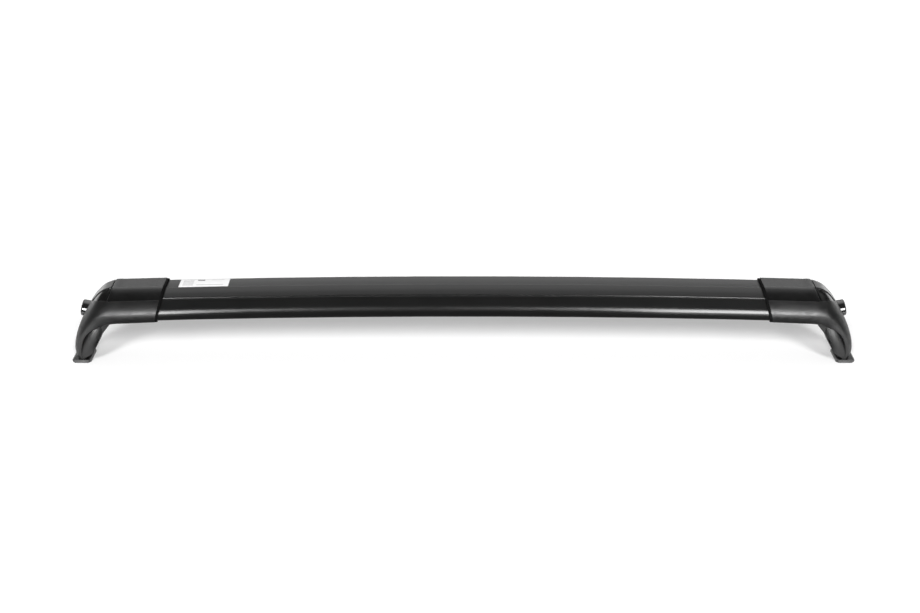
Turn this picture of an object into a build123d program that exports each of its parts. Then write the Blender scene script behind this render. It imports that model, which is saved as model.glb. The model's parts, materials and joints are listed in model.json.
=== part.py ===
from build123d import *
import math
import os
from collections import namedtuple

# Roof rack crossbar: a bowed hollow bar held in a moulded support at each end.
# Millimetres. X runs along the bar, Y is the way of travel, Z is up, and z = 0 is under the foot plates.

# Overall and bar
SPAN = 1200.0
BAR_TOP = 129.4
BAR_DEPTH = 86.0
BAR_HEIGHT = 47.0
BAR_WALL = 2.2
BAR_WEB = 2.0
BOW_RADIUS = 17000.0
TOP_FLAT = 30.0
TOP_CROWN = 0.4
SLOPE_CROWN = 0.6
RIDGE_DROP = 10.8
RIDGE_INSET = 11.0
NOSE_DROP = 30.6
FRONT_SLOPE = 55.0
GROOVE_WIDTH = 1.5
GROOVE_DEPTH = 1.1
LIP_RADIUS = 0.8

# End support
SLEEVE_WALL = 3.0
FIT_GAP = 0.3
LEG_REACH = 66.6
PLATE_OVERHANG = 5.4
SLEEVE_LENGTH = 70.0
MOUTH_LEAN = 15.0
BAR_INSET = 5.5
FOOT_DEPTH = 40.0
PANEL_INSET = 4.5
PANEL_FOOT = 1.9
EDGE_STEP = 10.5
EDGE_WIDTH = 2.4
EDGE_TIP_WIDTH = 3.0
PANEL_TAPER = 6.0
PANEL_BULGE = 0.9
PILLOW_RADIUS = 20.0
PILLOW_LONG = 110.0
PILLOW_REACH = 60.0

# Covers
COVER_HALF = 36.4
COVER_GAP = 0.3
SEAM_GAP = 1.8
SEAM_LEAN = 22.0
RIB_DROP = 1.2
CAP_GAP = 0.8
COVER_SINK = 0.12
COVER_DEEP = 43.0
COVER_SIDE = 18.4
CAP_THICK = 3.6
CAP_RECESS = 2.2
CAP_END_BACK = 33.1
CAP_NOSE_HALF = 12.5
CAP_LEAVE = 0.12
CAP_ARRIVE = 0.35
BAND_HALF = 15.5
BAND_END_HALF = 12.0
BAND_ROUND = 1.6

# Mouth seal
SEAL_WIDTH = 3.5
SEAL_HEIGHT = 2.5

# Lock
LOCK_TILT = 12.0
LOCK_FACE_BACK = 14.6
LOCK_HEIGHT = 84.5
LOCK_RADIUS = 12.5
LOCK_HEAD = 14.5
LOCK_EDGE = 2.2
LOCK_WALL = 3.5
BARREL_RADIUS = 8.0
CORE_RADIUS = 5.2
CORE_SINK = 0.6
CORE_CLEAR = 0.25
KEY_SLOT_LONG = 7.0
KEY_SLOT_WIDE = 1.8
KEY_SLOT_DEEP = 9.0
ARM_THICK = 2.7
ARM_WIDTH = 5.0
ARM_LENGTH = 9.5
ARM_HUB = 3.5
ARM_CLEAR = 0.3

# Catch under the shoulder cap
CATCH_IN = 5.2
CATCH_WIDTH = 4.0
CATCH_STEM = 3.0
CATCH_TOE = 2.6
CATCH_CLEAR = 0.5
STEM_CLEAR = 2.8

# Foot and clamp
PLATE_WIDTH = 28.6
PLATE_DEPTH = 44.0
PLATE_THICK = 4.5
PLATE_CORNER_OUT = 5.0
PLATE_CORNER_IN = 4.0
PLATE_EDGE = 0.8
BOLT_TILT = 19.5
BOLT_OFFSET = 18.0
BOLT_RADIUS = 4.0
BOLT_HEAD_RADIUS = 6.5
BOLT_HEAD_HIGH = 8.0
BOLT_HEX = 6.0
BOLT_HEX_DEEP = 4.5
BOLT_SEAT = 58.0
BOLT_TIP = 1.6
BOLT_CLEAR = 0.3
BOLT_HEAD_CLEAR = 1.5
THREAD_CLEAR = 0.1
WASHER_RADIUS = 7.6
WASHER_THICK = 1.6
BLOCK_WIDE = 13.0
BLOCK_DEEP = 20.0
BLOCK_HIGH = 12.0
BLOCK_CLEAR = 0.4
WELL_HALF = 11.0
WELL_FLOOR = 72.0
WELL_INBOARD = 14.0

# Screws that hold the bar
SCREW_PITCH = 28.0
SCREW_RADIUS = 3.0
SCREW_HEAD_RADIUS = 5.25
SCREW_HEAD_HIGH = 3.3
SCREW_HEX = 4.0
SCREW_HEX_DEEP = 2.0
SCREW_CLEAR = 0.25
SCREW_SEAT_DROP = 3.75
NUT_PLATE_LONG = 52.0
NUT_PLATE_WIDE = 24.0
NUT_PLATE_THICK = 4.0

# Derived places
HALF_SPAN = SPAN / 2
X_OUT = HALF_SPAN - PLATE_OVERHANG
X_SEAM = X_OUT - LEG_REACH
X_MOUTH = X_SEAM - SLEEVE_LENGTH
X_BAR_END = X_SEAM - BAR_INSET
CAP_LENGTH = LEG_REACH - CAP_END_BACK
HALF_DEPTH = BAR_DEPTH / 2
BOW_AXIS = Axis((0, 0, BAR_TOP - BOW_RADIUS), (0, 1, 0))


def bow_sag(x):
    return BOW_RADIUS - math.sqrt(BOW_RADIUS ** 2 - x ** 2)


Z_FOOT = PLATE_THICK
Z_SLEEVE = BAR_TOP + SLEEVE_WALL - bow_sag(X_SEAM)
LEG_HIGH = Z_SLEEVE - Z_FOOT
SLEEVE_HALF = HALF_DEPTH + SLEEVE_WALL
FAR = 4 * BAR_TOP


def leg_point(out, up):
    """A point in the side view, from shares of the leg's reach and height."""
    return (X_SEAM + out * LEG_REACH, Z_FOOT + up * LEG_HIGH)


# Bar section and bowed solids

def bar_outline():
    flat = TOP_FLAT / 2
    ridge = HALF_DEPTH - RIDGE_INSET
    slope = math.radians(FRONT_SLOPE)
    drop = NOSE_DROP - RIDGE_DROP
    # The straight front face and the nose arc share the ridge inset and the drop to the nose.
    rate = math.tan(slope)
    nose = (drop - RIDGE_INSET * rate) / (math.cos(slope) - (1 - math.sin(slope)) * rate)
    run = (RIDGE_INSET - nose * (1 - math.sin(slope))) / math.cos(slope)
    face_end = (ridge + run * math.cos(slope), -RIDGE_DROP - run * math.sin(slope))
    centre = (HALF_DEPTH - nose, -NOSE_DROP)
    half_way = (slope + math.pi / 2) / 2
    upper_mid = (centre[0] + nose * math.sin(half_way), centre[1] + nose * math.cos(half_way))
    belly = BAR_HEIGHT - NOSE_DROP
    tip = (HALF_DEPTH, -NOSE_DROP)
    diagonal = math.sqrt(0.5)
    lower_mid = (HALF_DEPTH - belly + belly * diagonal, -NOSE_DROP - belly * diagonal)
    base = (HALF_DEPTH - belly, -BAR_HEIGHT)
    crease = (flat, -TOP_CROWN)
    fall = math.atan2(RIDGE_DROP - TOP_CROWN, ridge - flat)
    slope_mid = ((flat + ridge) / 2 + SLOPE_CROWN * math.sin(fall),
                 -(TOP_CROWN + RIDGE_DROP) / 2 + SLOPE_CROWN * math.cos(fall))
    edges = [ThreePointArc((-flat, -TOP_CROWN), (0, 0), crease)]
    for side in (1, -1):
        def at(p):
            return (side * p[0], p[1])
        edges.append(ThreePointArc(at(crease), at(slope_mid), at((ridge, -RIDGE_DROP))))
        edges.append(Line(at((ridge, -RIDGE_DROP)), at(face_end)))
        edges.append(ThreePointArc(at(face_end), at(upper_mid), at(tip)))
        edges.append(ThreePointArc(at(tip), at(lower_mid), at(base)))
    edges.append(Line((-base[0], base[1]), (base[0], base[1])))
    return make_face(edges)


OUTLINE = bar_outline()
SECTION_PLANE = Plane(origin=(0, 0, BAR_TOP), x_dir=(0, 1, 0), z_dir=(1, 0, 0))


def bowed(face, x_from, x_to):
    """A flat bar section carried along the bow between two places on X."""
    start = math.degrees(math.asin(x_from / BOW_RADIUS))
    turn = math.degrees(math.asin(x_to / BOW_RADIUS)) - start
    placed = (SECTION_PLANE * face).rotate(BOW_AXIS, start)
    return revolve(placed, axis=BOW_AXIS, revolution_arc=turn)


def grown(amount):
    return offset(OUTLINE, amount=amount, kind=Kind.INTERSECTION)


def bar():
    ridge = HALF_DEPTH - RIDGE_INSET
    web_at = NUT_PLATE_WIDE / 2 + 2 * BAR_WEB
    cells = grown(-BAR_WALL)
    for side in (1, -1):
        cells -= Pos(side * web_at, -BAR_HEIGHT / 2) * Rectangle(BAR_WEB, 2 * BAR_HEIGHT)
    face = OUTLINE - cells
    lean = (math.degrees(math.atan2(RIDGE_DROP, ridge - TOP_FLAT / 2)) + FRONT_SLOPE) / 2
    for side in (1, -1):
        groove = Rectangle(GROOVE_WIDTH, 2 * GROOVE_DEPTH)
        face -= Pos(side * ridge, -RIDGE_DROP) * Rot(0, 0, -side * lean) * groove
        lip = (side * (ridge - GROOVE_WIDTH / 2), GROOVE_DEPTH / 2 - RIDGE_DROP, 0)
        face = fillet(face.vertices().sort_by_distance(lip)[0], LIP_RADIUS)
    return bowed(face, -X_BAR_END, X_BAR_END)


# Outer form of the end support

Station = namedtuple("Station", "out inn depth nose flat base")
STATIONS = (
    Station(out=(0.000, 1.000), inn=(0.000, 0.547), depth=1.000, nose=0.610, flat=0.326, base=0.565),
    Station(out=(0.270, 0.940), inn=(0.195, 0.526), depth=0.970, nose=0.580, flat=0.340, base=0.600),
    Station(out=(0.495, 0.806), inn=(0.360, 0.497), depth=0.890, nose=0.590, flat=0.370, base=0.740),
    Station(out=(0.676, 0.652), inn=(0.510, 0.459), depth=0.750, nose=0.660, flat=0.420, base=0.860),
    Station(out=(0.848, 0.455), inn=(0.660, 0.376), depth=0.550, nose=0.740, flat=0.460, base=0.930),
    Station(out=(0.965, 0.259), inn=(0.763, 0.259), depth=0.330, nose=0.800, flat=0.500, base=0.950),
    Station(out=(1.000, 0.113), inn=(0.826, 0.113), depth=0.155, nose=0.800, flat=0.500, base=0.950),
    Station(out=(0.968, 0.021), inn=(0.810, 0.021), depth=0.060, nose=0.800, flat=0.500, base=0.940),
    Station(out=(0.900, -0.038), inn=(0.750, -0.038), depth=0.000, nose=0.780, flat=0.450, base=0.930),
)
SLEEVE_SHARES = (-1.2, -0.8, -0.4, -0.12)
ROUND_TOP = 0.36
ROUND_BASE = 0.55
SECTION_COUNT = 22


def form_wire(top, low, half, nose_share, flat_share, base_share, inset, sink):
    """One closed section between an outer point and an inner point of the side view."""
    nx, nz = top[0] - low[0], top[1] - low[1]
    thick = math.hypot(nx, nz)
    nx, nz = nx / thick, nz / thick
    nose = nose_share * thick - inset
    flat = flat_share * half
    base = base_share * half
    half -= inset
    thick -= 2 * inset
    bend = ROUND_TOP - sink
    rise = ROUND_BASE * (thick - nose)
    upper = ((flat, 0), (flat + bend * (half - flat), 0), (half, -nose * (1 - bend)), (half, -nose))
    lower = ((half, -nose), (half, -nose - rise), (base + ROUND_BASE * (half - base), -thick), (base, -thick))
    edges = [Line((-flat, 0), (flat, 0)), Bezier(*upper), Bezier(*lower)]
    edges.append(Line((base, -thick), (-base, -thick)))
    for curve in (lower, upper):
        edges.append(Bezier(*[(-u, v) for u, v in reversed(curve)]))
    origin = (top[0] - inset * nx, 0, top[1] - inset * nz)
    place = Plane(origin=origin, x_dir=(0, 1, 0), z_dir=(nz, 0, -nx))
    return place * Wire([e for curve in edges for e in curve.edges()])


def station_rows():
    """Section values from the inboard end of the sleeve to the foot, as plain rows."""
    first = STATIONS[0]
    sleeve_drop = Z_SLEEVE - leg_point(*first.inn)[1]
    mouth_drop = BAR_HEIGHT + 2 * SLEEVE_WALL
    rows = []
    for share in SLEEVE_SHARES:
        x = X_SEAM + share * SLEEVE_LENGTH
        z = BAR_TOP + SLEEVE_WALL - bow_sag(x)
        drop = sleeve_drop + share * (sleeve_drop - mouth_drop)
        rows.append((x, z, x, z - drop, SLEEVE_HALF, first.nose, first.flat, first.base))
    for s in STATIONS:
        half = FOOT_DEPTH / 2 + s.depth * (SLEEVE_HALF - FOOT_DEPTH / 2)
        rows.append((*leg_point(*s.out), *leg_point(*s.inn), half, s.nose, s.flat, s.base))
    return rows


def even_rows(rows, count):
    """The same run of sections, spaced evenly by a curve through the given ones."""
    knots = [0.0]
    for a, b in zip(rows, rows[1:]):
        step = math.hypot(b[0] - a[0], b[1] - a[1]) + math.hypot(b[2] - a[2], b[3] - a[3])
        knots.append(knots[-1] + step)
    last = len(rows) - 1
    slopes = []
    for i in range(len(rows)):
        lo, hi = max(i - 1, 0), min(i + 1, last)
        slopes.append([(q - p) / (knots[hi] - knots[lo]) for p, q in zip(rows[lo], rows[hi])])
    spaced = []
    for k in range(count):
        t = knots[-1] * k / (count - 1)
        i = min(max(j for j in range(len(knots)) if knots[j] <= t + FIT_GAP / FAR), last - 1)
        span = knots[i + 1] - knots[i]
        u = (t - knots[i]) / span
        h00, h10 = (1 + 2 * u) * (1 - u) ** 2, u * (1 - u) ** 2
        h01, h11 = u * u * (3 - 2 * u), u * u * (u - 1)
        values = zip(rows[i], slopes[i], rows[i + 1], slopes[i + 1])
        spaced.append([h00 * p + h10 * span * m + h01 * q + h11 * span * n for p, m, q, n in values])
    return spaced


def form(inset=0.0, sink=0.0):
    """The smooth body that runs from the mouth over the shoulder to the foot."""
    wires = []
    for tx, tz, lx, lz, half, nose, flat, base in even_rows(station_rows(), SECTION_COUNT):
        wires.append(form_wire((tx, tz), (lx, lz), half, nose, flat, base, inset, sink))
    return Solid.make_loft(wires)


def side_prism(points, half):
    """A side view outline carried across the depth."""
    face = make_face(Polyline(*points, close=True))
    return extrude(Plane.XZ * face, amount=half, both=True)


def plan_prism(face, z_from, z_to):
    return extrude(Pos(0, 0, z_from) * face, amount=z_to - z_from)


def box_between(low, high):
    size = [b - a for a, b in zip(low, high)]
    centre = [(a + b) / 2 for a, b in zip(low, high)]
    return Pos(*centre) * Box(*size)


def leaning_slab(x, z, lean, start, length):
    """A slab across the sleeve that leans outboard as it goes down, measured outboard from a point."""
    facing = (math.cos(math.radians(lean)), 0, math.sin(math.radians(lean)))
    place = Plane(origin=(x, 0, z), x_dir=(0, 1, 0), z_dir=facing)
    return place * Pos(0, 0, start + length / 2) * Box(FAR, FAR, length)


def mouth_slab(start, length):
    return leaning_slab(X_MOUTH, BAR_TOP - NOSE_DROP, MOUTH_LEAN, start, length)


def seam_slab(start, length):
    return leaning_slab(X_SEAM, Z_SLEEVE, SEAM_LEAN, start, length)


# Axes of the lock and of the clamp bolt

LOCK_OUT = (math.cos(math.radians(LOCK_TILT)), math.sin(math.radians(LOCK_TILT)))
LOCK_FACE = (X_OUT - LOCK_FACE_BACK, LOCK_HEIGHT)


def lock_plane(back):
    """A plane across the lock axis, facing outboard, at a depth behind the lock's face."""
    x = LOCK_FACE[0] - back * LOCK_OUT[0]
    z = LOCK_FACE[1] - back * LOCK_OUT[1]
    return Plane(origin=(x, 0, z), x_dir=(0, 1, 0), z_dir=(LOCK_OUT[0], 0, LOCK_OUT[1]))


def lock_disc(radius, back_from, back_to):
    return extrude(lock_plane(back_to) * Circle(radius), amount=back_to - back_from)


BOLT_LEAN = math.radians(BOLT_TILT)
BOLT_FOOT_X = HALF_SPAN - BOLT_OFFSET


def bolt_plane(z):
    """A plane across the bolt axis, facing up along it, where the axis is at height z."""
    x = BOLT_FOOT_X - (z - Z_FOOT) * math.tan(BOLT_LEAN)
    return Plane(origin=(x, 0, z), x_dir=(0, 1, 0), z_dir=(-math.sin(BOLT_LEAN), 0, math.cos(BOLT_LEAN)))


def bolt_rod(radius, z_from, length):
    return extrude(bolt_plane(z_from) * Circle(radius), amount=length)


# Plan outlines of the covers

def cap_outline(gap):
    start = X_SEAM - SEAM_GAP
    end = X_SEAM + CAP_LENGTH - gap
    wide = COVER_HALF - gap
    nose = CAP_NOSE_HALF
    edges = [Line((start, -wide), (start, wide)), Line((end, -nose), (end, nose))]
    for side in (1, -1):
        leave = (1, -side * CAP_LEAVE, 0)
        arrive = (CAP_ARRIVE, -side, 0)
        edges.append(Spline((start, side * wide), (end, side * nose), tangents=(leave, arrive)))
    return make_face(edges)


def seam_strip():
    """The plan of the gap between the two covers, let into both of them."""
    return Pos(X_SEAM, 0) * Rectangle(3 * SEAM_GAP, 2 * COVER_HALF)


def band_outline():
    start = X_SEAM - FAR
    end = X_SEAM + CAP_LENGTH
    grow = (BAND_HALF - BAND_END_HALF) / CAP_LENGTH
    wide = BAND_HALF + grow * FAR
    points = ((start, -wide), (start, wide), (end, BAND_END_HALF), (end, -BAND_END_HALF))
    return make_face(Polyline(*points, close=True))


# Leg panels: shares of reach and height along the inboard edge

TIP = (0.080, 0.534)
HOCK = (0.315, 0.366)
NOTCH = (0.438, 0.241)
CALF = (0.559, 0.107)
HEEL = (0.847, 0.0)
INSIDE = ((0.93, 0.06), (0.90, 0.24), (0.76, 0.42), (0.50, 0.56), (0.10, 0.62))
CREST = ((0.39, 0.50), (0.79, 0.02))
BELLY = 0.70


def panel_half(z):
    """How far the panels stand from the middle plane at a height."""
    top_z = leg_point(*TIP)[1] + SLEEVE_WALL
    narrow = FOOT_DEPTH / 2 + PANEL_FOOT
    wide = SLEEVE_HALF - SLEEVE_WALL - PANEL_INSET - PANEL_TAPER
    return narrow + (z - Z_FOOT) / (top_z - Z_FOOT) * (wide - narrow)


def web(inset):
    """Room inside the front and back faces of the leg panels, bulging a little between its ends."""
    top_z = leg_point(*TIP)[1] + SLEEVE_WALL
    mid_z = leg_point(*NOTCH)[1]
    low = Z_FOOT - PLATE_THICK
    edges = []
    tops = []
    for side in (1, -1):
        a = (side * (panel_half(low) - inset), low)
        b = (side * (panel_half(mid_z) + PANEL_BULGE - inset), mid_z)
        c = (side * (panel_half(top_z) - inset), top_z)
        edges.append(ThreePointArc(a, b, c))
        tops.append((a, c))
    edges.append(Line(tops[0][0], tops[1][0]))
    edges.append(Line(tops[0][1], tops[1][1]))
    plane = Plane(origin=(X_SEAM - LEG_REACH, 0, 0), x_dir=(0, 1, 0), z_dir=(1, 0, 0))
    return extrude(plane * make_face(edges), amount=3 * LEG_REACH)


def pillow():
    """A barrel along the leg, which swells each panel and curls it in under the elbow."""
    (xt, zt), (xb, zb) = (leg_point(*share) for share in CREST)
    top = Vector(xt, panel_half(zt) - PILLOW_RADIUS, zt)
    run = Vector(xb, panel_half(zb) - PILLOW_RADIUS, zb) - top
    place = Plane(origin=top + run * BELLY, x_dir=run, z_dir=run.cross(Vector(0, 1, 0)))
    end = PILLOW_RADIUS - PILLOW_LONG + math.sqrt(PILLOW_LONG ** 2 - PILLOW_REACH ** 2)
    stave = ThreePointArc((-PILLOW_REACH, end), (0, PILLOW_RADIUS), (PILLOW_REACH, end))
    ends = [Line((side * PILLOW_REACH, 0), (side * PILLOW_REACH, end)) for side in (1, -1)]
    half_section = make_face([stave, *ends, Line((-PILLOW_REACH, 0), (PILLOW_REACH, 0))])
    barrel = revolve(place * half_section, axis=Axis(place.origin, run))
    back = barrel & box_between((0, 0, -FAR), (2 * SPAN, FAR, FAR))
    return back + mirror(back, about=Plane.XZ)


def leg_panels():
    def shift(p, dx):
        return (p[0] + dx / LEG_REACH, p[1])
    core = [leg_point(*p) for p in (TIP, HOCK, NOTCH, CALF, HEEL) + INSIDE]
    rim = (shift(TIP, EDGE_TIP_WIDTH), shift(HOCK, EDGE_WIDTH), shift(NOTCH, EDGE_WIDTH))
    panel = [leg_point(*p) for p in rim + (NOTCH, CALF, HEEL) + INSIDE]
    inner = side_prism(core, SLEEVE_HALF) & web(EDGE_STEP)
    outer = side_prism(panel, SLEEVE_HALF) & pillow()
    return inner + outer


OUTER_FORM = form()
COVER_FORM = form(sink=COVER_SINK)
SEAT_FORM = form(inset=CAP_THICK + COVER_GAP, sink=COVER_SINK)
UNDER_FORM = form(inset=CAP_THICK, sink=COVER_SINK)
FACET_FORM = form(inset=CAP_RECESS, sink=COVER_SINK)
BAR_ROOM = bowed(grown(FIT_GAP), X_MOUTH - SLEEVE_LENGTH, X_BAR_END + FIT_GAP)
COVER_LOW = Z_SLEEVE - COVER_DEEP
COVER_EDGE_LOW = Z_SLEEVE - COVER_SIDE


def seam_rib():
    """The low rib of the support that stands between the two covers."""
    rib = seam_slab(COVER_GAP - SEAM_GAP / 2, SEAM_GAP - 2 * COVER_GAP) & form(RIB_DROP, COVER_SINK)
    return rib & box_between((X_SEAM - SEAM_GAP, -COVER_HALF, COVER_EDGE_LOW),
                             (X_SEAM + LEG_REACH, COVER_HALF, FAR))


def end_support():
    body = OUTER_FORM + leg_panels()
    body -= mouth_slab(-FAR, FAR)
    body -= box_between((X_SEAM, -FAR, -FAR), (X_SEAM + FAR, FAR, Z_FOOT))
    body -= BAR_ROOM
    trough_low = COVER_EDGE_LOW - SLEEVE_WALL
    trough = box_between((X_MOUTH - FAR, -COVER_HALF, trough_low), (X_SEAM, COVER_HALF, FAR))
    body -= trough
    body -= plan_prism(cap_outline(0.0) + seam_strip(), COVER_LOW, FAR) - SEAT_FORM
    well_end = lock_plane(LOCK_HEAD + LOCK_WALL).origin.X
    well = box_between((X_SEAM + WELL_INBOARD, -WELL_HALF, WELL_FLOOR), (well_end + FAR, WELL_HALF, FAR))
    well &= lock_plane(LOCK_HEAD + LOCK_WALL) * Pos(0, 0, -FAR / 2) * Box(FAR, FAR, FAR)
    body -= well
    body -= lock_disc(LOCK_RADIUS + COVER_GAP, -FAR / 8, LOCK_HEAD)
    body -= lock_disc(BARREL_RADIUS + COVER_GAP, 0, LOCK_HEAD + 2 * LOCK_WALL)
    body -= bolt_rod(BOLT_HEAD_RADIUS + BOLT_HEAD_CLEAR, BOLT_SEAT, LEG_HIGH / 2)
    body -= bolt_rod(BOLT_RADIUS + BOLT_CLEAR, -Z_FOOT, LEG_HIGH)
    room = Rectangle(BLOCK_DEEP + 2 * BLOCK_CLEAR, BLOCK_WIDE + 2 * BLOCK_CLEAR)
    body -= extrude(bolt_plane(-Z_FOOT) * room, amount=BLOCK_HIGH + 2 * PLATE_THICK + BLOCK_CLEAR)
    for tool in bar_screws(SCREW_CLEAR):
        body -= tool
    body += seam_rib()
    return body.solids().sort_by(SortBy.VOLUME)[-1]


def top_cover():
    half = COVER_HALF - COVER_GAP
    room = box_between((X_MOUTH - FAR, -half, COVER_EDGE_LOW), (X_SEAM + SEAM_GAP, half, FAR))
    room += plan_prism(cap_outline(CAP_GAP), COVER_EDGE_LOW, FAR)
    body = COVER_FORM & room
    body -= mouth_slab(-FAR, FAR)
    body -= seam_slab(-SEAM_GAP / 2, FAR)
    body -= UNDER_FORM & box_between((X_SEAM - SEAM_GAP / 2, -FAR, -FAR), (X_SEAM + FAR, FAR, FAR))
    body -= BAR_ROOM
    return body.solids().sort_by(SortBy.VOLUME)[-1]


def band_edge(shell, side):
    """The upper edge of the centre band's step on one side."""
    grow = (BAND_HALF - BAND_END_HALF) / CAP_LENGTH
    def off_line(edge):
        at = edge.center()
        return abs(side * at.Y - BAND_END_HALF - grow * (X_SEAM + CAP_LENGTH - at.X))
    near = [e for e in shell.edges() if e.length > CAP_LENGTH / 2 and off_line(e) < FIT_GAP]
    return max(near, key=lambda edge: edge.center().Z)


def shoulder_cap():
    outline = plan_prism(cap_outline(CAP_GAP), COVER_LOW, FAR)
    shell = (COVER_FORM & outline) - UNDER_FORM - seam_slab(SEAM_GAP / 2 - FAR, FAR)
    facets = plan_prism(cap_outline(0.0) + seam_strip() - band_outline(), COVER_LOW, FAR) - FACET_FORM
    shell -= facets
    shell -= lock_disc(LOCK_RADIUS + COVER_GAP, -FAR / 8, LOCK_HEAD)
    shell = shell.solids().sort_by(SortBy.VOLUME)[-1]
    for side in (1, -1):
        shell = fillet(band_edge(shell, side), BAND_ROUND)
    return shell + catch()


def catch():
    """The hook that hangs from the cap beside the lock arm."""
    arm_back = LOCK_HEAD + LOCK_WALL + ARM_CLEAR + ARM_THICK
    x_arm = lock_plane(arm_back).origin.X
    z_toe = lock_plane(arm_back).origin.Z - ARM_WIDTH / 2 - CATCH_CLEAR
    toe_end = lock_plane(LOCK_HEAD + LOCK_WALL + ARM_CLEAR).origin.X
    stem_x = x_arm - STEM_CLEAR
    y0, y1 = -CATCH_IN - CATCH_WIDTH, -CATCH_IN
    stem = box_between((stem_x - CATCH_STEM, y0, z_toe - CATCH_TOE), (stem_x, y1, FAR))
    stem &= FACET_FORM
    toe = box_between((stem_x - CATCH_STEM, y0, z_toe - CATCH_TOE), (toe_end, y1, z_toe))
    return stem + toe


def mouth_seal():
    ring = grown(SEAL_HEIGHT) - grown(FIT_GAP / 3)
    body = bowed(ring, X_MOUTH - SLEEVE_LENGTH, X_SEAM) & mouth_slab(-SEAL_WIDTH, SEAL_WIDTH)
    return body


def lock_housing():
    head = lock_disc(LOCK_RADIUS, 0, LOCK_HEAD)
    head = fillet(head.edges().filter_by(GeomType.CIRCLE).sort_by(Axis.X)[-1], LOCK_EDGE)
    body = head + lock_disc(BARREL_RADIUS, LOCK_HEAD, LOCK_HEAD + LOCK_WALL)
    return body - lock_disc(CORE_RADIUS + CORE_CLEAR, -LOCK_EDGE, LOCK_HEAD + 2 * LOCK_WALL)


def lock_core():
    body = lock_disc(CORE_RADIUS, CORE_SINK, LOCK_HEAD + LOCK_WALL + ARM_CLEAR)
    slot = lock_plane(CORE_SINK) * Rectangle(KEY_SLOT_WIDE, KEY_SLOT_LONG)
    return body - extrude(slot, amount=-KEY_SLOT_DEEP)


def lock_arm():
    back = LOCK_HEAD + LOCK_WALL + ARM_CLEAR + ARM_THICK
    hub = Circle(ARM_HUB) + Pos(0, ARM_LENGTH / 2) * Rectangle(ARM_WIDTH, ARM_LENGTH)
    return extrude(lock_plane(back) * hub, amount=ARM_THICK)


def clamp_bolt():
    seat = BOLT_SEAT
    length = (seat - BOLT_TIP) / math.cos(BOLT_LEAN)
    body = bolt_rod(BOLT_RADIUS, BOLT_TIP, length + WASHER_THICK)
    head_plane = bolt_plane(seat).offset(WASHER_THICK)
    head = extrude(head_plane * Circle(BOLT_HEAD_RADIUS), amount=BOLT_HEAD_HIGH)
    hexagon = head_plane.offset(BOLT_HEAD_HIGH) * RegularPolygon(BOLT_HEX / 2, 6, major_radius=False)
    return body + head - extrude(hexagon, amount=-BOLT_HEX_DEEP)


def bolt_washer():
    ring = Circle(WASHER_RADIUS) - Circle(BOLT_RADIUS + BOLT_CLEAR)
    return extrude(bolt_plane(BOLT_SEAT) * ring, amount=WASHER_THICK)


def foot_plate():
    inner = HALF_SPAN - PLATE_WIDTH
    side = PLATE_DEPTH / 2
    co, ci = PLATE_CORNER_OUT, PLATE_CORNER_IN
    points = ((HALF_SPAN, side - co), (HALF_SPAN - co, side), (inner + ci, side), (inner, side - ci),
              (inner, ci - side), (inner + ci, -side), (HALF_SPAN - co, -side), (HALF_SPAN, co - side))
    body = plan_prism(make_face(Polyline(*points, close=True)), 0, PLATE_THICK)
    body = chamfer(body.faces().sort_by(Axis.Z)[-1].edges(), PLATE_EDGE)
    return body - bolt_rod(BOLT_RADIUS + THREAD_CLEAR, -Z_FOOT, LEG_HIGH / 2)


def nut_block():
    body = extrude(bolt_plane(-Z_FOOT) * Rectangle(BLOCK_DEEP, BLOCK_WIDE), amount=BLOCK_HIGH + PLATE_THICK)
    body -= box_between((0, -FAR, -FAR), (2 * HALF_SPAN, FAR, Z_FOOT))
    return body - bolt_rod(BOLT_RADIUS + THREAD_CLEAR, -Z_FOOT, LEG_HIGH / 2)


def along_bow(shape, x):
    """Carries a piece made over x = 0 along the bow to a place on X."""
    return shape.rotate(BOW_AXIS, math.degrees(math.asin(x / BOW_RADIUS)))


SCREW_MID = (X_MOUTH + X_BAR_END) / 2
SCREW_TOP = BAR_TOP - BAR_HEIGHT + BAR_WALL + NUT_PLATE_THICK
SCREW_SEAT = BAR_TOP - BAR_HEIGHT - SCREW_SEAT_DROP


def upright(radius, z_from, z_to):
    """A round rod on the Z axis."""
    return extrude(Pos(0, 0, z_from) * Circle(radius), amount=z_to - z_from)


def bar_screws(clear):
    """The two button head screws of one end, or the room for them."""
    shapes = []
    for side in (-1, 1):
        head_low = SCREW_SEAT - SCREW_HEAD_HIGH * (4 if clear else 1)
        screw = upright(SCREW_RADIUS + clear, SCREW_SEAT, SCREW_TOP)
        screw += upright(SCREW_HEAD_RADIUS + 2 * clear, head_low, SCREW_SEAT)
        if not clear:
            screw = chamfer(screw.edges().filter_by(GeomType.CIRCLE).sort_by(Axis.Z)[0], SCREW_HEAD_HIGH / 3)
            socket = Pos(0, 0, head_low) * RegularPolygon(SCREW_HEX / 2, 6, major_radius=False)
            screw -= extrude(socket, amount=SCREW_HEX_DEEP)
        shapes.append(along_bow(screw, SCREW_MID + side * SCREW_PITCH / 2))
    return shapes


def nut_plate():
    low = BAR_TOP - BAR_HEIGHT + BAR_WALL
    body = Pos(0, 0, low + NUT_PLATE_THICK / 2) * Box(NUT_PLATE_LONG, NUT_PLATE_WIDE, NUT_PLATE_THICK)
    for side in (-1, 1):
        hole = upright(SCREW_RADIUS + THREAD_CLEAR, low - NUT_PLATE_THICK, low + 2 * NUT_PLATE_THICK)
        body -= Pos(side * SCREW_PITCH / 2, 0) * hole
    return along_bow(body, SCREW_MID)


# Every piece of the right end, and its mirror at the left

os.makedirs("parts", exist_ok=True)
crossbar = bar()
for end_tool in bar_screws(SCREW_CLEAR):
    crossbar -= end_tool
    crossbar -= mirror(end_tool, about=Plane.YZ)
export_step(crossbar, "parts/crossbar.step")

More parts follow.
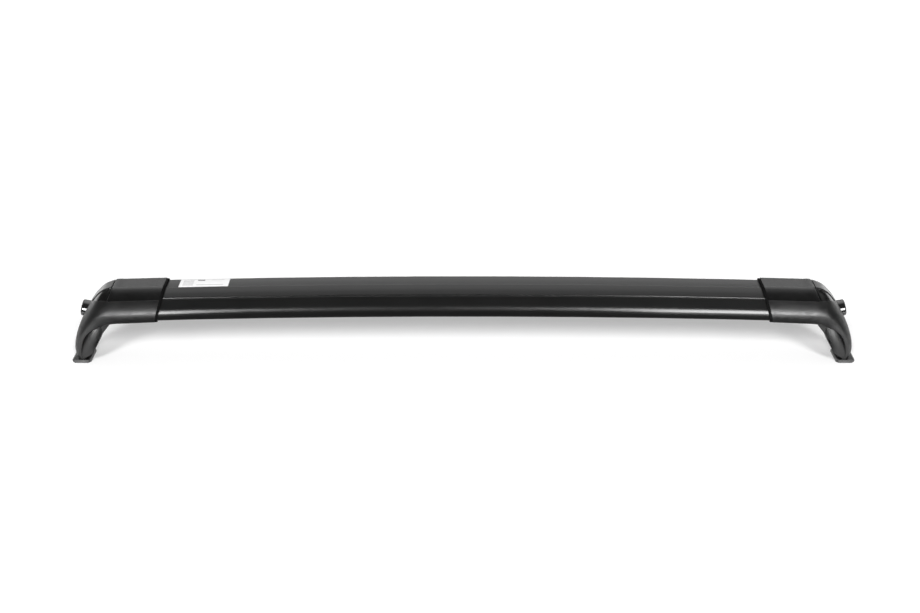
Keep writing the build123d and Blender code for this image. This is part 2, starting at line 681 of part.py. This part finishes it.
PIECES = {
    "support": end_support(),
    "top_cover": top_cover(),
    "shoulder_cap": shoulder_cap(),
    "mouth_seal": mouth_seal(),
    "lock_housing": lock_housing(),
    "lock_core": lock_core(),
    "lock_arm": lock_arm(),
    "clamp_bolt": clamp_bolt(),
    "bolt_washer": bolt_washer(),
    "foot_plate": foot_plate(),
    "nut_block": nut_block(),
    "nut_plate": nut_plate(),
    "bar_screws": Compound(children=bar_screws(0.0)),
}
for name, piece in PIECES.items():
    export_step(piece, f"parts/right_{name}.step")
    export_step(mirror(piece, about=Plane.YZ), f"parts/left_{name}.step")
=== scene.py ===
import json
import math

import bmesh
import bpy
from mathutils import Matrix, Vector
from mathutils.bvhtree import BVHTree


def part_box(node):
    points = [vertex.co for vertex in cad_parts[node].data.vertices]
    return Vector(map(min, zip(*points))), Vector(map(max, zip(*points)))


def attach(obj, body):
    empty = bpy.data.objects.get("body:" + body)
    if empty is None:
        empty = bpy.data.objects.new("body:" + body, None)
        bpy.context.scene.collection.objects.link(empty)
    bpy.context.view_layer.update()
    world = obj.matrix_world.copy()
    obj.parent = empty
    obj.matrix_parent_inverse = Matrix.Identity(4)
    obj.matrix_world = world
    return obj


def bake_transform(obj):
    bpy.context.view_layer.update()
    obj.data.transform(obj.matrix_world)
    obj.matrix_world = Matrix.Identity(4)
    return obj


# Looks of a roof rack crossbar: satin black bar, moulded end supports, lock bosses and foot plates.
# Metres, in the frame of the solids: X along the bar, Y away from the camera, Z up.

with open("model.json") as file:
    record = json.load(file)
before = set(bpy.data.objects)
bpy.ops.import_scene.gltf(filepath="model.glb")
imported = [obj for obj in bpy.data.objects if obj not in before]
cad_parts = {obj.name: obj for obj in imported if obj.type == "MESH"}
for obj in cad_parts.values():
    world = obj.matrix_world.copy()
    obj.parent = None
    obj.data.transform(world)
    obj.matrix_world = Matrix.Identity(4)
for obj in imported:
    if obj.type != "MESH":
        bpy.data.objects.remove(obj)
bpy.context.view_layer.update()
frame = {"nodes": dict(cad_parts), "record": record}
MM = 0.001
ENDS = ((-1, "left"), (1, "right"))
FLANKS = ((-1, "front"), (1, "back"))
WHITE = (1.0, 1.0, 1.0, 1.0)
BLACK = (0.0, 0.0, 0.0, 1.0)

# Label on the bar's gently crowned top
BOW_RADIUS = 17.0
BAR_TOP = 0.1294
TOP_HALF = 15.0 * MM
TOP_CROWN = 0.4 * MM
LABEL_FROM, LABEL_TO = -0.4285, -0.3540
LABEL_HALF = 13.8 * MM
LABEL_THICK = 0.12 * MM
LABEL_CORNER = 1.2 * MM
LABEL_COLUMN = 2.0 * MM
LABEL_ROWS = 12
CORNER_STEPS = 5

# Plain grey fields on the label, placed from its left end
PRINT_LIFT = 0.03 * MM
PRINT_CORNER = 0.4 * MM
PRINT_ROWS = 4
PLAIN_PAPER, GREY_PRINT, DARK_PRINT = 0, 1, 2
LINES = 6
LINES_TOP, LINES_SPAN = 0.62 * LABEL_HALF, 1.2 * LABEL_HALF
LINE_FROM, LINE_TO = 5.0 * MM, 21.0 * MM
LINE_HALF = 0.8 * MM
BLOCK_FROM, BLOCK_TO = 26.0 * MM, 37.0 * MM
BLOCK_LOW, BLOCK_HIGH = 7.2 * MM, 11.0 * MM
HEAD_FROM = 46.0 * MM
HEAD_LOW, HEAD_HIGH = 9.2 * MM, 10.6 * MM
TAIL_LOW, TAIL_HIGH = -8.2 * MM, -6.6 * MM
TAIL_ROWS = 6
PRINT_MARGIN = 8.0 * MM
PAPER_ROUGH = 0.45

# Painted shade: thin dark strips on the ribs between top cover and shoulder cap, for the shade in the seam
# gap
SEAM_X = 0.528
SEAM_TOP = 0.1242
SEAM_LEAN = math.radians(22.0)
SEAM_SEEK = 10.0 * MM
SEAM_SHADE_FROM, SEAM_SHADE_TO = 15.5 * MM, 35.2 * MM
SEAM_SHADE_HALF = 0.58 * MM
SEAM_SHADE_THICK = 0.30 * MM
SEAM_SHADE_STEPS = 24
SEAM_SHADE_SECTION = ((0.0, -1.0), (0.0, 1.0), (0.7, 1.0), (1.0, 0.5), (1.0, -0.5), (0.7, -1.0))

# Painted shade on the foot plates: a dark field inside the border, as of a recessed interior
PLATE_BORDER = 2.2 * MM
PLATE_SHADE_COLOUR = (0.008, 0.008, 0.008, 1.0)
FIELD_SOFT = 0.5 * MM
RAGGED_SIZE = 3.0 * MM
RAGGED_REACH = 1.5 * MM
RAGGED_DETAIL = 3.0

# Detail of the finishes
EVEN = (1.0, 1.0, 1.0)
LENGTHWISE = (0.02, 1.0, 1.0)
NOISE_LOW, NOISE_HIGH = 0.3, 0.7
PLAIN_DETAIL, DRIFT_DETAIL, SCUFF_DETAIL, PATCH_DETAIL = 2.0, 4.0, 6.0, 5.0
SCUFF_SHRINK, PATCH_SHRINK = 6, 4
SCUFF_START, SCUFF_END = 0.42, 0.68
EDGE_SHARP, EDGE_FLAT = 0.80, 0.985
EDGE_SAMPLES = 6
RING_SCALE, RING_WOBBLE = 1800.0, 2.0
THREAD_SCALE = 250.0

# Places of the colour sockets on a mix node
MIX_FIRST, MIX_SECOND, MIX_RESULT = 6, 7, 2

# Camera
CAMERA_PLACE = (-0.0054, -2.011, 1.023)
CAMERA_DOWN = 25.0
CAMERA_LENS = 57.06
CAMERA_SENSOR = 36.0
CAMERA_NEAR, CAMERA_FAR = 0.05, 100.0

# Floor, sky and lamps
FLOOR_REACH = 30.0
FLOOR_GIVE = 0.55
FLOOR_COLUMNS = 24
FLOOR_COLOUR = (0.80, 0.80, 0.80, 1.0)
FLOOR_GLOW = 0.20
SKY_LEVEL = 0.38
KEY_SIDE, KEY_UP = 20.0, 32.4
KEY_WIDTH, KEY_STRENGTH = 14.0, 2.25

# Dark walls round the camera side
WALL_X, WALL_FRONT, WALL_BACK = 4.0, -3.4, 0.4
WALL_LOW, WALL_HIGH = 0.02, 3.6
ROOF_BACK, ROOF_HIGH = -0.9, 4.4
HIGH_CARD_TOP = 8.0
CENTRE_FRONT, CENTRE_BACK = -1.85, -0.12
CENTRE_LOW, CENTRE_HIGH = 0.01, 1.2

# Sheets just over the floor: y and half width of the dark card, reach and y of the fans at the ends
CARD_Z, LEG_Z, PANEL_Z = 0.004, 0.005, 0.006
FLOOR_CARD = ((-1.9, 0.9), (-0.10, 0.72), (-0.095, 0.553), (0.04, 0.553))
SIDE_FAN = ((0.72, -0.10, 0.03), (2.7, -0.70, 0.80), (4.0, -1.10, 1.25))

# Overhead panel, and the card and light strip at the back
OVER_X, OVER_FRONT, OVER_BACK, OVER_HIGH = 2.0, 0.15, 3.4, 3.0
BACK_X, BACK_Y = 6.0, 6.0
BACK_LOW, BACK_SPLIT, BACK_HIGH = 3.3, 4.75, 6.2

# Cards and panels at the sides
SIDE_SPLIT, SIDE_HIGH = 1.9, 6.0
SIDE_PANEL_FRONT = 1.5

# Front panels, which stand beside the camera and run on over the floor, aimed at a point behind the bar
FRONT_PANELS = (("left", -1.20, -0.78), ("right", 0.52, 1.35))
PANEL_HIGH = 0.55
PANEL_FAR, PANEL_NEAR, PANEL_END = -1.9, -0.30, -0.17
PANEL_AIM = 2.0
PANEL_LIMIT, LOW_PANEL_LIMIT = 0.61, 0.535

# Small panels before the legs: inner and outer x, front and back y
LEG_PANELS = (("far", 0.575, 0.66, -0.095, -0.072), ("near", 0.562, 0.70, -0.072, -0.026))

# Brightness of each card and panel
LEVELS = {
    "dark_wall": 0.10, "dark_roof": 0.10, "high_card": 0.02, "floor_card": 0.15, "centre_card": 0.12,
    "top_panel": 2.6, "back_card": 0.05, "back_strip": 5.0,
    "panel_left": 39.0, "panel_right": 34.5, "low_panel": 9.0,
    "side_card": 0.06, "side_panel": 4.0, "side_wall": 0.06, "side_floor": 0.08,
    "leg_panel_far": 5.0, "leg_panel_near": 1.9,
}


# Node helpers

def fill(tree, socket, value):
    """Links an output to a socket, or sets the socket to a plain value."""
    if isinstance(value, bpy.types.NodeSocket):
        tree.links.new(value, socket)
    else:
        socket.default_value = value


def fill_named(tree, node, **inputs):
    """Fills sockets by name, where _ stands for a space."""
    for key, value in inputs.items():
        fill(tree, node.inputs[key.replace("_", " ")], value)


def fill_in_turn(tree, node, *values):
    """Fills sockets in the order in which the node has them."""
    for socket, value in zip(node.inputs, values):
        fill(tree, socket, value)


def add(tree, kind, settings=None, **inputs):
    """Adds a node, sets its properties and fills its sockets."""
    node = tree.nodes.new(kind)
    for key, value in (settings or {}).items():
        setattr(node, key, value)
    fill_named(tree, node, **inputs)
    return node


def maths(tree, operation, *values):
    node = add(tree, "ShaderNodeMath", {"operation": operation})
    fill_in_turn(tree, node, *values)
    return node.outputs["Value"]


def coordinates(tree, stretch=EVEN):
    place = add(tree, "ShaderNodeTexCoord").outputs["Object"]
    return add(tree, "ShaderNodeMapping", Vector=place, Scale=stretch).outputs["Vector"]


def noise(tree, where, size, detail=PLAIN_DETAIL):
    """Soft noise with features of about this size."""
    return add(tree, "ShaderNodeTexNoise", Vector=where, Scale=1.0 / size, Detail=detail).outputs["Fac"]


def spread(tree, value, low, high, start=NOISE_LOW, end=NOISE_HIGH):
    """Maps start to end onto low to high."""
    node = add(tree, "ShaderNodeMapRange", Value=value, From_Min=start, From_Max=end,
               To_Min=low, To_Max=high)
    return node.outputs["Result"]


def blend_colour(tree, factor, first, second):
    node = add(tree, "ShaderNodeMix", {"data_type": "RGBA"}, Factor=factor)
    fill(tree, node.inputs[MIX_FIRST], first)
    fill(tree, node.inputs[MIX_SECOND], second)
    return node.outputs[MIX_RESULT]


def edge_mask(tree, rounded):
    """White along sharp edges, where handling rubs the finish."""
    flat = add(tree, "ShaderNodeNewGeometry").outputs["True Normal"]
    dot = add(tree, "ShaderNodeVectorMath", {"operation": "DOT_PRODUCT"})
    fill_in_turn(tree, dot, flat, rounded)
    return spread(tree, dot.outputs["Value"], 1.0, 0.0, EDGE_SHARP, EDGE_FLAT)


def rings(tree, where):
    """Turning marks round an axis."""
    wave = add(tree, "ShaderNodeTexWave", {"wave_type": "RINGS", "rings_direction": "X"}, Vector=where,
               Scale=RING_SCALE, Distortion=RING_WOBBLE, Detail=PLAIN_DETAIL)
    return wave.outputs["Fac"]


def thread(tree, where):
    """Thread crests across the bolt's axis."""
    wave = add(tree, "ShaderNodeTexWave", {"bands_direction": "Z", "wave_profile": "SAW"}, Vector=where,
               Scale=THREAD_SCALE, Distortion=0.0)
    return wave.outputs["Fac"]


def plate_shade_field(tree, where):
    """The dark field of painted shade inside the border of a foot plate, with a ragged outline."""
    low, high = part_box("right_foot_plate")
    middle = (low[0] + high[0]) / 2
    half_x, half_y = (high[0] - low[0]) / 2, (high[1] - low[1]) / 2
    apart = add(tree, "ShaderNodeSeparateXYZ", Vector=where)
    from_middle = maths(tree, "SUBTRACT", maths(tree, "ABSOLUTE", apart.outputs["X"]), middle)
    x = maths(tree, "ABSOLUTE", from_middle)
    y = maths(tree, "ABSOLUTE", apart.outputs["Y"])
    inside_x = maths(tree, "SUBTRACT", half_x - PLATE_BORDER, x)
    inside_y = maths(tree, "SUBTRACT", half_y - PLATE_BORDER, y)
    outline = noise(tree, where, RAGGED_SIZE, RAGGED_DETAIL)
    ragged = spread(tree, outline, -RAGGED_REACH, RAGGED_REACH)
    reach = maths(tree, "ADD", maths(tree, "MINIMUM", inside_x, inside_y), ragged)
    return spread(tree, reach, 0.0, 1.0, -FIELD_SOFT, FIELD_SOFT)


# Materials

def new_material(name):
    made = bpy.data.materials.new(name)
    made.use_nodes = True
    return made, made.node_tree


def material(name, *, dark, light, worn, rough, swing, depth, grain=None, fine=None, cloud=30.0 * MM,
             edge=0.5 * MM, stretch=EVEN, field=None, **sockets):
    """A surface with drifting tone, uneven gloss, a fine bump and rubbed edges.

    dark, light and worn are its tones, and swing is how far the gloss strays. The bump is depth high, and
    is plain grain of this size or a fine pattern. cloud is the size of the drifting patches, edge is how
    wide edges are rounded, and field marks where painted shade darkens the surface."""
    made, tree = new_material(name)
    plain = coordinates(tree)
    along = coordinates(tree, stretch)
    drift = noise(tree, plain, cloud, DRIFT_DETAIL)
    texture = fine(tree, along) if fine else noise(tree, along, grain)
    rounded = add(tree, "ShaderNodeBevel", {"samples": EDGE_SAMPLES}, Radius=edge).outputs["Normal"]
    rubbed = edge_mask(tree, rounded)
    scratches = noise(tree, plain, cloud / SCUFF_SHRINK, SCUFF_DETAIL)
    scuffs = spread(tree, scratches, 0.0, 1.0, SCUFF_START, SCUFF_END)
    wear = maths(tree, "MULTIPLY", rubbed, scuffs)
    tone = blend_colour(tree, spread(tree, drift, 0.0, 1.0), dark, light)
    # painted shade: the field darkens the top of a foot plate inside its border
    if field:
        tone = blend_colour(tree, field(tree, plain), tone, PLATE_SHADE_COLOUR)
    colour = blend_colour(tree, wear, tone, worn)
    patches = noise(tree, along, cloud / PATCH_SHRINK, PATCH_DETAIL)
    gloss = spread(tree, patches, rough - swing, rough + swing)
    bump = add(tree, "ShaderNodeBump", Height=texture, Distance=depth, Strength=1.0, Normal=rounded)
    fill_named(tree, tree.nodes["Principled BSDF"], Base_Color=colour, Roughness=gloss,
               Normal=bump.outputs["Normal"], **sockets)
    return made


def grey(level, warmth=0.0):
    return (level * (1 + warmth), level, level * (1 - warmth), 1.0)


def build_materials():
    """One finish for each slot."""
    return {
        "bar": material(
            "satin_black_bar", dark=grey(0.0030), light=grey(0.0045), worn=grey(0.03), rough=0.30,
            swing=0.03, grain=0.35 * MM, depth=0.003 * MM, cloud=50.0 * MM, edge=1.2 * MM,
            stretch=LENGTHWISE, IOR=1.40),
        "support": material(
            "grained_black_plastic", dark=grey(0.0040), light=grey(0.0060), worn=grey(0.03), rough=0.43,
            swing=0.09, grain=0.30 * MM, depth=0.005 * MM, IOR=1.40),
        "cover": material(
            "satin_black_cover", dark=grey(0.0030), light=grey(0.0045), worn=grey(0.02), rough=0.24,
            swing=0.03, grain=0.8 * MM, depth=0.003 * MM, edge=1.2 * MM, IOR=1.42),
        "seal": material(
            "black_rubber", dark=grey(0.002), light=grey(0.003), worn=grey(0.006), rough=0.80,
            swing=0.08, grain=0.25 * MM, depth=0.010 * MM, Specular_IOR_Level=0.05),
        "lock_shell": material(
            "gloss_black_shell", dark=grey(0.006), light=grey(0.008), worn=grey(0.03), rough=0.10,
            swing=0.03, grain=2.0 * MM, depth=0.002 * MM, edge=0.4 * MM, IOR=1.52),
        "lock_core": material(
            "chromed_core", dark=grey(0.62, 0.01), light=grey(0.70), worn=grey(0.80), rough=0.18,
            swing=0.06, fine=rings, depth=0.002 * MM, edge=0.25 * MM, Metallic=1.0),
        "plated_steel": material(
            "zinc_plated_steel", dark=grey(0.46, 0.02), light=grey(0.56), worn=grey(0.68), rough=0.34,
            swing=0.07, grain=0.3 * MM, depth=0.004 * MM, cloud=8.0 * MM, edge=0.3 * MM, Metallic=1.0),
        "bolt_steel": material(
            "brushed_bolt_steel", dark=grey(0.30, 0.01), light=grey(0.40), worn=grey(0.55), rough=0.32,
            swing=0.07, fine=thread, depth=0.05 * MM, cloud=8.0 * MM, edge=0.3 * MM, Metallic=1.0),
        # the foot plates get a field of painted shade inside their border
        "foot": material(
            "grey_coated_plate", dark=grey(0.06), light=grey(0.10), worn=grey(0.20), rough=0.42,
            swing=0.05, grain=0.4 * MM, depth=0.006 * MM, cloud=12.0 * MM, field=plate_shade_field, IOR=1.45,
            Specular_IOR_Level=0.25),
    }


def paper(name, light, dark):
    return material(name, dark=grey(dark), light=grey(light), worn=grey(light), rough=PAPER_ROUGH,
                    swing=0.05, grain=0.25 * MM, depth=0.003 * MM, cloud=10.0 * MM, edge=0.05 * MM)


def dress(materials):
    """Gives every solid the material of its slot."""
    for entry in frame["record"]["subparts"]:
        obj = frame["nodes"].get(entry["node"])
        obj.data.materials.clear()
        obj.data.materials.append(materials[entry["material_slot"]])


# Mesh helpers

def linked(name, data):
    obj = bpy.data.objects.new(name, data)
    bpy.context.collection.objects.link(obj)
    return obj


def skin(bm, loops):
    """Walls between closed loops of points, from each loop to the next."""
    walls = []
    for a, b in zip(loops, loops[1:]):
        for k in range(len(a)):
            n = (k + 1) % len(a)
            walls.append(bm.faces.new((a[k], a[n], b[n], b[k])))
    return walls


def closed_piece(name, bm, materials):
    """An object from a closed mesh, with its materials."""
    bmesh.ops.recalc_face_normals(bm, faces=bm.faces[:])
    mesh = bpy.data.meshes.new(name)
    bm.to_mesh(mesh)
    bm.free()
    for made in materials:
        mesh.materials.append(made)
    return linked(name, mesh)


# Label

def on_bow(x, y, lift):
    """A point on the crowned top of the bowed bar, raised along the bow's radius."""
    drop = BOW_RADIUS - math.sqrt(BOW_RADIUS ** 2 - x ** 2) + TOP_CROWN * (y / TOP_HALF) ** 2
    return Vector((x * (1 + lift / BOW_RADIUS), y, BAR_TOP - drop + lift))


def rounded_rows(x0, x1, half, corner, count):
    """Pairs of x and half width that trace a rectangle with rounded corners."""
    rows = []
    for k in range(CORNER_STEPS + 1):
        a = math.pi / 2 * k / CORNER_STEPS
        rows.append((x0 + corner * (1 - math.sin(a)), half - corner * (1 - math.cos(a))))
    left = sorted(rows)
    middle = [(x0 + corner + (x1 - x0 - 2 * corner) * k / count, half) for k in range(1, count)]
    right = [(x0 + x1 - x, h) for x, h in reversed(left)]
    return left + middle + right


def strip(bm, x0, x1, y0, y1, corner, low, high, index, count):
    """A thin closed sheet on the bow with rounded corners, in columns that follow the crown."""
    mid, half = (y0 + y1) / 2, (y1 - y0) / 2
    columns = max(2, round(2 * half / LABEL_COLUMN))
    shares = [2 * k / columns - 1 for k in range(columns + 1)]
    loops = []
    for x, h in rounded_rows(x0, x1, half, corner, count):
        under = [bm.verts.new(on_bow(x, mid + h * share, low)) for share in shares]
        over = [bm.verts.new(on_bow(x, mid + h * share, high)) for share in reversed(shares)]
        loops.append(under + over)
    faces = skin(bm, loops)
    for loop in (loops[0], loops[-1]):
        for k in range(columns):
            faces.append(bm.faces.new((loop[k], loop[k + 1], loop[-k - 2], loop[-k - 1])))
    for face in faces:
        face.material_index = index


def print_field(bm, x0, x1, y0, y1, index, count=PRINT_ROWS):
    """A grey field on the label's face."""
    strip(bm, x0, x1, y0, y1, PRINT_CORNER, LABEL_THICK, LABEL_THICK + PRINT_LIFT, index, count)


def build_label():
    bm = bmesh.new()
    left, right = LABEL_FROM, LABEL_TO - PRINT_MARGIN
    strip(bm, LABEL_FROM, LABEL_TO, -LABEL_HALF, LABEL_HALF, LABEL_CORNER, 0.0, LABEL_THICK,
          PLAIN_PAPER, LABEL_ROWS)
    for k in range(LINES):
        y = LINES_TOP - LINES_SPAN * k / (LINES - 1)
        print_field(bm, left + LINE_FROM, left + LINE_TO, y - LINE_HALF, y + LINE_HALF, GREY_PRINT)
    print_field(bm, left + BLOCK_FROM, left + BLOCK_TO, BLOCK_LOW, BLOCK_HIGH, DARK_PRINT)
    print_field(bm, left + HEAD_FROM, right, HEAD_LOW, HEAD_HIGH, GREY_PRINT)
    print_field(bm, left + BLOCK_FROM, right, TAIL_LOW, TAIL_HIGH, GREY_PRINT, TAIL_ROWS)
    papers = [paper("label_paper", light=0.80, dark=0.74),
              paper("label_grey_print", light=0.46, dark=0.40),
              paper("label_dark_print", light=0.14, dark=0.11)]
    label = closed_piece("bar_label", bm, papers)
    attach(label, "bar_assembly")


# Seam strips of painted shade

def rib_top(tree, side, y):
    """The point of a seam rib at this y, found down the leaning seam."""
    down = Vector((side * math.sin(SEAM_LEAN), 0.0, -math.cos(SEAM_LEAN)))
    start = Vector((side * SEAM_X, y, SEAM_TOP)) - SEAM_SEEK * down
    return tree.ray_cast(start, down)[0]


def build_seam_shade_strip(name, tree, side, face, finish):
    """A thin dark strip that follows a rib down one flank of the cover, painting the shade in the seam
    gap.
    """
    across_seam = Vector((side * math.cos(SEAM_LEAN), 0.0, math.sin(SEAM_LEAN)))
    run = SEAM_SHADE_TO - SEAM_SHADE_FROM
    places = [face * (SEAM_SHADE_FROM + run * k / SEAM_SHADE_STEPS) for k in range(SEAM_SHADE_STEPS + 1)]
    line = [rib_top(tree, side, y) for y in places]
    bm = bmesh.new()
    loops = []
    for k, point in enumerate(line):
        along = line[min(k + 1, SEAM_SHADE_STEPS)] - line[max(k - 1, 0)]
        out = along.cross(across_seam).normalized()
        out *= 1 if out.z > 0 else -1
        loops.append([bm.verts.new(point + out * SEAM_SHADE_THICK * lift + across_seam * SEAM_SHADE_HALF * wide)
                      for lift, wide in SEAM_SHADE_SECTION])
    skin(bm, loops)
    bm.faces.new(loops[0])
    bm.faces.new(loops[-1])
    shade_strip = closed_piece(name, bm, [finish])
    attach(shade_strip, "bar_assembly")


def build_seam_shade_strips(materials):
    for side, end in ENDS:
        mesh = frame["nodes"][end + "_support"].data
        tree = BVHTree.FromPolygons([v.co for v in mesh.vertices], [p.vertices for p in mesh.polygons])
        for face, flank in FLANKS:
            # one strip of painted shade down each flank of the seam, in the black rubber finish
            build_seam_shade_strip(f"{end}_seam_shade_strip_{flank}", tree, side, face, materials["seal"])


# Floor and sky

def seen_rays(tree):
    """One for camera, glossy and transmission rays, which see the white studio."""
    path = add(tree, "ShaderNodeLightPath")
    seen = maths(tree, "MAXIMUM", path.outputs["Is Camera Ray"], path.outputs["Is Glossy Ray"])
    return maths(tree, "MAXIMUM", seen, path.outputs["Is Transmission Ray"])


def sheet_object(name, rows):
    """A stage sheet through rows of two points each."""
    verts = [point for row in rows for point in row]
    faces = [(2 * k, 2 * k + 1, 2 * k + 3, 2 * k + 2) for k in range(len(rows) - 1)]
    mesh = bpy.data.meshes.new(name)
    mesh.from_pydata(verts, [], faces)
    obj = linked(name, mesh)
    return obj


def build_floor():
    """A pale floor in two halves, each in narrow columns near the middle and one wide column beyond."""
    made, tree = new_material("white_floor")
    tree.nodes.clear()
    lit = add(tree, "ShaderNodeBsdfDiffuse", Color=FLOOR_COLOUR)
    level = spread(tree, seen_rays(tree), 0.0, FLOOR_GLOW, 0.0, 1.0)
    glow = add(tree, "ShaderNodeEmission", Strength=level)
    both = add(tree, "ShaderNodeAddShader")
    fill_in_turn(tree, both, lit.outputs["BSDF"], glow.outputs["Emission"])
    add(tree, "ShaderNodeOutputMaterial", Surface=both.outputs["Shader"])
    columns = [FLOOR_GIVE * k / FLOOR_COLUMNS for k in range(FLOOR_COLUMNS + 1)] + [FLOOR_REACH]
    for side, end in ENDS:
        rows = [((side * x, -FLOOR_REACH, 0.0), (side * x, FLOOR_REACH, 0.0)) for x in columns]
        floor = sheet_object(f"{end}_floor", rows)
        floor.data.materials.append(made)
        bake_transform(floor)


def build_sky():
    world = bpy.data.worlds.new("studio")
    bpy.context.scene.world = world
    world.use_nodes = True
    tree = world.node_tree
    level = spread(tree, seen_rays(tree), SKY_LEVEL, 1.0, 0.0, 1.0)
    fill_named(tree, tree.nodes["Background"], Strength=level, Color=WHITE)


# Studio cards and light panels

def across(x0, x1, places):
    """Rows that run along X at places of y and z."""
    return [((x0, y, z), (x1, y, z)) for y, z in places]


def upright(low, high, places):
    """Rows that stand from low to high at places of x and y."""
    return [((x, y, low), (x, y, high)) for x, y in places]


def studio_card(kind, rows, end=""):
    """A studio card or light panel that shows only in gloss."""
    name = f"{kind}_{end}" if end else kind
    card = sheet_object(name, rows)
    card.visible_camera = False
    card.visible_diffuse = False
    card.visible_shadow = False
    made, tree = new_material(name)
    fill_named(tree, tree.nodes["Principled BSDF"], Base_Color=BLACK, Specular_IOR_Level=0.0,
               Emission_Color=WHITE, Emission_Strength=LEVELS[kind])
    card.data.materials.append(made)


def build_walls():
    """Dark cards round the camera side, one on the floor and one between the two ends."""
    plan = ((-WALL_X, WALL_BACK), (-WALL_X, WALL_FRONT), (WALL_X, WALL_FRONT), (WALL_X, WALL_BACK))
    studio_card("dark_wall", upright(WALL_LOW, WALL_HIGH, plan))
    studio_card("dark_roof", across(-WALL_X, WALL_X, ((WALL_FRONT, WALL_HIGH), (ROOF_BACK, ROOF_HIGH))))
    plan = ((-WALL_X, WALL_FRONT), (-WALL_X, WALL_BACK))
    studio_card("high_card", upright(WALL_HIGH, HIGH_CARD_TOP, plan))
    studio_card("floor_card", [((-x, y, CARD_Z), (x, y, CARD_Z)) for y, x in FLOOR_CARD])
    studio_card("centre_card", upright(CENTRE_LOW, CENTRE_HIGH, ((0.0, CENTRE_FRONT), (0.0, CENTRE_BACK))))


def build_back():
    """A panel overhead, and a dark card under a light strip far behind the bar."""
    studio_card("top_panel", across(-OVER_X, OVER_X, ((OVER_FRONT, OVER_HIGH), (OVER_BACK, OVER_HIGH))))
    studio_card("back_card", across(-BACK_X, BACK_X, ((BACK_Y, BACK_LOW), (BACK_Y, BACK_SPLIT))))
    studio_card("back_strip", across(-BACK_X, BACK_X, ((BACK_Y, BACK_SPLIT), (BACK_Y, BACK_HIGH))))


def within(limit, values):
    return [max(-limit, min(limit, value)) for value in values]


def build_front_panels():
    """A light panel at each side of the camera, and a dimmer end to each on the floor before the bar."""
    close = (PANEL_AIM - PANEL_NEAR) / (PANEL_AIM - PANEL_FAR)
    for end, x0, x1 in FRONT_PANELS:
        drawn_in = (x0 * close, x1 * close)
        standing = across(x0, x1, ((PANEL_FAR, PANEL_HIGH), (PANEL_FAR, PANEL_Z)))
        lying = across(*within(PANEL_LIMIT, drawn_in), ((PANEL_NEAR, PANEL_Z),))
        studio_card(f"panel_{end}", standing + lying)
        places = ((PANEL_NEAR, PANEL_Z), (PANEL_END, PANEL_Z))
        studio_card("low_panel", across(*within(LOW_PANEL_LIMIT, drawn_in), places), end)


def build_sides():
    """Cards and panels beside the bar, and small panels on the floor before the legs."""
    for side, end in ENDS:
        wall, panel, back = ((side * WALL_X, y) for y in (WALL_BACK, SIDE_PANEL_FRONT, BACK_Y))
        studio_card("side_card", upright(SIDE_SPLIT, SIDE_HIGH, (wall, back)), end)
        studio_card("side_panel", upright(WALL_LOW, SIDE_SPLIT, (panel, back)), end)
        studio_card("side_wall", upright(WALL_LOW, SIDE_SPLIT, (wall, panel)), end)
        fan = [((side * reach, y0, CARD_Z), (side * reach, y1, CARD_Z)) for reach, y0, y1 in SIDE_FAN]
        studio_card("side_floor", fan, end)
        for part, x0, x1, y0, y1 in LEG_PANELS:
            rows = across(side * x0, side * x1, ((y0, LEG_Z), (y1, LEG_Z)))
            studio_card(f"leg_panel_{part}", rows, end)


# Lamps and camera

def sun(name, side):
    """A distant soft lamp, placed by its angle from the camera side and above the floor."""
    lamp = bpy.data.lights.new(name, "SUN")
    lamp.angle = math.radians(KEY_WIDTH)
    lamp.energy = KEY_STRENGTH
    obj = linked(name, lamp)
    a, e = math.radians(side), math.radians(KEY_UP)
    toward = Vector((math.sin(a) * math.cos(e), -math.cos(a) * math.cos(e), math.sin(e)))
    obj.rotation_euler = (-toward).to_track_quat("-Z", "Y").to_euler()
    obj.visible_camera = False
    obj.visible_glossy = False


def build_lamps():
    for side, end in ENDS:
        sun(f"key_{end}", side * KEY_SIDE)


def build_camera():
    data = bpy.data.cameras.new("camera")
    data.sensor_width = CAMERA_SENSOR
    data.lens = CAMERA_LENS
    data.clip_start = CAMERA_NEAR
    data.clip_end = CAMERA_FAR
    camera = linked("camera", data)
    camera.location = CAMERA_PLACE
    camera.rotation_euler = (math.radians(90.0 - CAMERA_DOWN), 0.0, 0.0)
    bpy.context.scene.camera = camera


bpy.context.scene.view_settings.view_transform = "Standard"
finishes = build_materials()
dress(finishes)
build_label()
build_seam_shade_strips(finishes)
build_floor()
build_sky()
build_walls()
build_back()
build_front_panels()
build_sides()
build_lamps()
build_camera()
